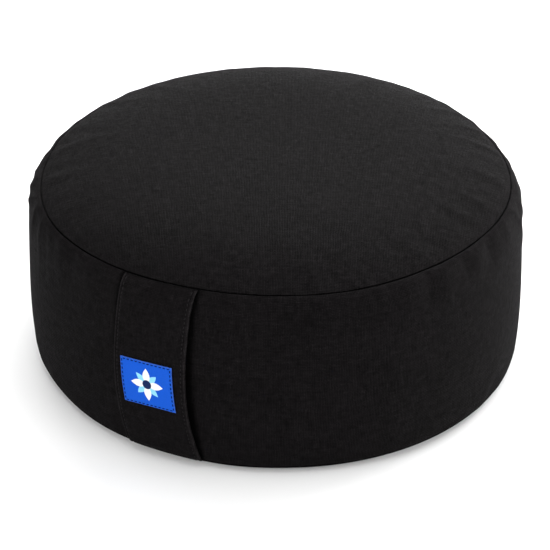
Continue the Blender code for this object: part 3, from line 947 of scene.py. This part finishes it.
def canvasMaterial(name, foldedEdge=None):
    # plain-weave cotton: weave * threads * slubs * mottle * blotches * fibres, with painted shade between
    # the threads; darker by the piece's painted shade attribute, and with a painted highlight near
    # foldedEdge, which is the distance of a folded edge from the cloth's middle line
    c = canvas
    material, tree, shader = newMaterial(name, c["roughness"], c["specular"])
    shader.inputs["Sheen Weight"].default_value = c["sheen"]
    shader.inputs["Sheen Roughness"].default_value = c["sheenRoughness"]
    uv, u, v = clothPlace(tree, c["wobble"])
    height, shade = plainWeave(tree, u, v, c["pitch"])
    slub = slubs(tree, uv, c["slubLong"], c["slubWide"])
    mottle = node(tree, "TexNoise", {"Vector": uv, "Scale": 1 / c["mottleSize"], "Detail": 4,
                                     "Roughness": 0.75}).outputs[0]
    blotch = node(tree, "TexNoise", {"Vector": uv, "Scale": 1 / c["blotchSize"], "Detail": 3}).outputs[0]
    fibres = node(tree, "TexNoise", {"Vector": uv, "Scale": c["fibreScale"], "Detail": 2}).outputs[0]
    # painted shade between the threads of the weave
    factor = calc(tree, "MULTIPLY_ADD", height, 1 - c["gapShade"], c["gapShade"])
    for noise, strength in ((shade, c["threadSpread"]), (slub, c["slub"]), (mottle, c["mottle"]),
                            (blotch, c["blotch"]), (fibres, c["fuzz"])):
        factor = calc(tree, "MULTIPLY", factor, spread(tree, noise, strength))
    # painted shade from the piece's shade attribute, and painted highlight where it is below 0
    between = node(tree, "Attribute", attribute_name="shade").outputs["Fac"]
    factor = calc(tree, "MULTIPLY", factor, calc(tree, "MULTIPLY_ADD", between, -c["paintedShadeStrength"], 1.0))
    # painted highlight along the strap's folded edges
    if foldedEdge:
        aside = calc(tree, "ABSOLUTE", clothPlace(tree)[1])
        low = foldedEdge - c["highlightFrom"]
        high = foldedEdge - c["highlightFull"]
        paintedHighlight = node(tree, "MapRange", {0: aside, 1: low, 2: high, 3: 1.0, 4: c["fade"]}).outputs[0]
        factor = calc(tree, "MULTIPLY", factor, paintedHighlight)
    tree.links.new(brightened(tree, c["colour"], factor), shader.inputs["Base Color"])
    both = calc(tree, "MULTIPLY", calc(tree, "ADD", slub, mottle), 0.5)
    dull = calc(tree, "MULTIPLY_ADD", both, -c["shine"], c["roughness"] + c["shine"] / 2)
    tree.links.new(dull, shader.inputs["Roughness"])
    relief = calc(tree, "MULTIPLY_ADD", fibres, c["fibreBump"], height)
    relief = calc(tree, "MULTIPLY_ADD", slub, c["slubBump"], relief)
    bump = node(tree, "Bump", {"Strength": 1.0, "Distance": c["bump"], "Height": relief})
    tree.links.new(bump.outputs[0], shader.inputs["Normal"])
    return material


def petalMask(tree, along, aside, length, width):
    # 1 inside a pointed petal from the middle out: aside < width * sin(pi * along / length)
    share = calc(tree, "MULTIPLY", along, math.pi / length)
    inside = calc(tree, "MULTIPLY", calc(tree, "SINE", share), width)
    within = calc(tree, "LESS_THAN", calc(tree, "ABSOLUTE", aside), inside)
    return calc(tree, "MULTIPLY", within, calc(tree, "LESS_THAN", along, length))


def labelMaterial():
    # four white petals and four narrow leaves between them on blue, with a paler cut edge
    t = labelCloth
    material, tree, shader = newMaterial("labelWeave", t["roughness"], t["specular"])
    _, u, v = clothPlace(tree)
    wide = calc(tree, "ABSOLUTE", u)
    high = calc(tree, "ABSOLUTE", v)
    far = calc(tree, "MAXIMUM", wide, high)
    near = calc(tree, "MINIMUM", wide, high)
    petals = petalMask(tree, far, near, t["petal"], t["petalWidth"])
    slantFar = calc(tree, "MULTIPLY", calc(tree, "ADD", far, near), math.sqrt(0.5))
    slantNear = calc(tree, "MULTIPLY", calc(tree, "SUBTRACT", far, near), math.sqrt(0.5))
    leaves = petalMask(tree, slantFar, slantNear, t["leaf"], t["leafWidth"])
    squares = calc(tree, "ADD", calc(tree, "POWER", wide, 2.0), calc(tree, "POWER", high, 2.0))
    heart = calc(tree, "LESS_THAN", calc(tree, "SQRT", squares), t["heart"])
    pastSide = calc(tree, "SUBTRACT", wide, label["width"] / 2)
    pastTop = calc(tree, "SUBTRACT", high, label["height"] / 2)
    edge = calc(tree, "GREATER_THAN", calc(tree, "MAXIMUM", pastSide, pastTop), -t["edgeWidth"])
    colour = (*t["blue"], 1)
    for mask, name in ((leaves, "cyan"), (petals, "white"), (heart, "navy"), (edge, "edge")):
        mixed = node(tree, "Mix", {0: mask, 6: colour, 7: (*t[name], 1)}, data_type="RGBA")
        colour = mixed.outputs[2]
    height, shade = plainWeave(tree, u, v, t["rib"])
    # painted shade between the label's threads and painted highlight on their tops
    ribbed = calc(tree, "MULTIPLY_ADD", height, t["ribShade"], t["ribDark"])
    tone = calc(tree, "MULTIPLY", ribbed, spread(tree, shade, t["threadSpread"]))
    tree.links.new(brightened(tree, colour, tone), shader.inputs["Base Color"])
    bump = node(tree, "Bump", {"Strength": 0.6, "Distance": t["bump"], "Height": height})
    tree.links.new(bump.outputs[0], shader.inputs["Normal"])
    return material


def threadMaterial(name, colour):
    # twisted thread: thin slanting bands on Object coordinates
    t = thread
    material, tree, shader = newMaterial(name, t["roughness"], t["specular"])
    place = node(tree, "TexCoord").outputs["Object"]
    bands = {"Vector": place, "Scale": t["twistScale"], "Distortion": 1.5}
    twist = node(tree, "TexWave", bands, bands_direction="DIAGONAL").outputs["Fac"]
    tone = spread(tree, twist, t["twistShade"])
    tree.links.new(brightened(tree, colour, tone), shader.inputs["Base Color"])
    bump = node(tree, "Bump", {"Strength": 0.5, "Distance": t["bump"], "Height": twist})
    tree.links.new(bump.outputs[0], shader.inputs["Normal"])
    return material


addCover(canvasMaterial("coverCanvas"))
print("cover made")
addStrap(canvasMaterial("strapCanvas", strap["width"] / 2))
print("strap made")
addLabel(labelMaterial())
addStrapStitching(threadMaterial("blackThread", thread["strapColour"]))
addLabelStitching(threadMaterial("blueThread", thread["labelColour"]))
print("label and stitches made")


# Floor and light

studio = dict(
    floorLow=(-4, -3),
    floorHigh=(4, 6),
    floorColour=(0.8, 0.8, 0.8),
    floorMottle=0.01,
    worldStrength=0.03,
    aim=(0, 0, 0.08),  # what every light faces
    # name, place, size, power in watts
    lights=(
        ("overhead", (0.0, 0.0, 2.2), (2.4, 2.4), 47),
        ("overBack", (0.0, 1.4, 1.8), (2.0, 1.2), 6),
        ("back", (0.0, 2.2, 0.9), (2.4, 0.8), 72),
        ("left", (-2.0, 0.0, 1.2), (1.2, 1.2), 7),
        ("rightBack", (1.7, 1.4, 1.2), (1.2, 1.2), 65),
        ("front", (0.0, -2.2, 1.4), (2.0, 1.2), 22),
        ("rightLow", (2.2, 0.3, 0.45), (1.2, 0.7), 40),
        ("rightFront", (1.8, -1.4, 1.0), (1.2, 1.2), 20),
        ("leftFront", (-1.8, -1.4, 1.0), (1.2, 1.2), 29),
    ),
)


def floorMaterial():
    # matt white board with a very faint mottle
    material, tree, shader = newMaterial("paleFloor", 1.0, 0.0)
    place = node(tree, "TexCoord").outputs["Object"]
    mottle = node(tree, "TexNoise", {"Vector": place, "Scale": 6, "Detail": 2}).outputs[0]
    tone = spread(tree, mottle, studio["floorMottle"])
    colour = brightened(tree, studio["floorColour"], tone)
    tree.links.new(colour, shader.inputs["Base Color"])
    return material


def addFloor():
    # one level rectangle at height 0
    left, front = studio["floorLow"]
    right, back = studio["floorHigh"]
    mesh = bpy.data.meshes.new("floor")
    corners = [(left, front, 0), (right, front, 0), (right, back, 0), (left, back, 0)]
    mesh.from_pydata(corners, [], [(0, 1, 2, 3)])
    mesh.materials.append(floorMaterial())
    floor = bpy.data.objects.new("floor", mesh)
    scene.collection.objects.link(floor)


def addLight(name, place, size, power):
    # a soft rectangular light turned to the aim
    data = bpy.data.lights.new(name, "AREA")
    data.shape = "RECTANGLE"
    data.size, data.size_y = size
    data.energy = power
    lamp = bpy.data.objects.new(name, data)
    scene.collection.objects.link(lamp)
    lamp.location = place
    towards = Vector(studio["aim"]) - Vector(place)
    lamp.rotation_euler = towards.to_track_quat("-Z", "Y").to_euler()


addFloor()
for row in studio["lights"]:
    addLight(*row)
scene.view_settings.view_transform = "Standard"
scene.world = bpy.data.worlds.new("studio")
scene.world.use_nodes = True
background = scene.world.node_tree.nodes["Background"]
background.inputs["Color"].default_value = (1, 1, 1, 1)
background.inputs["Strength"].default_value = studio["worldStrength"]
print("floor and lights placed")
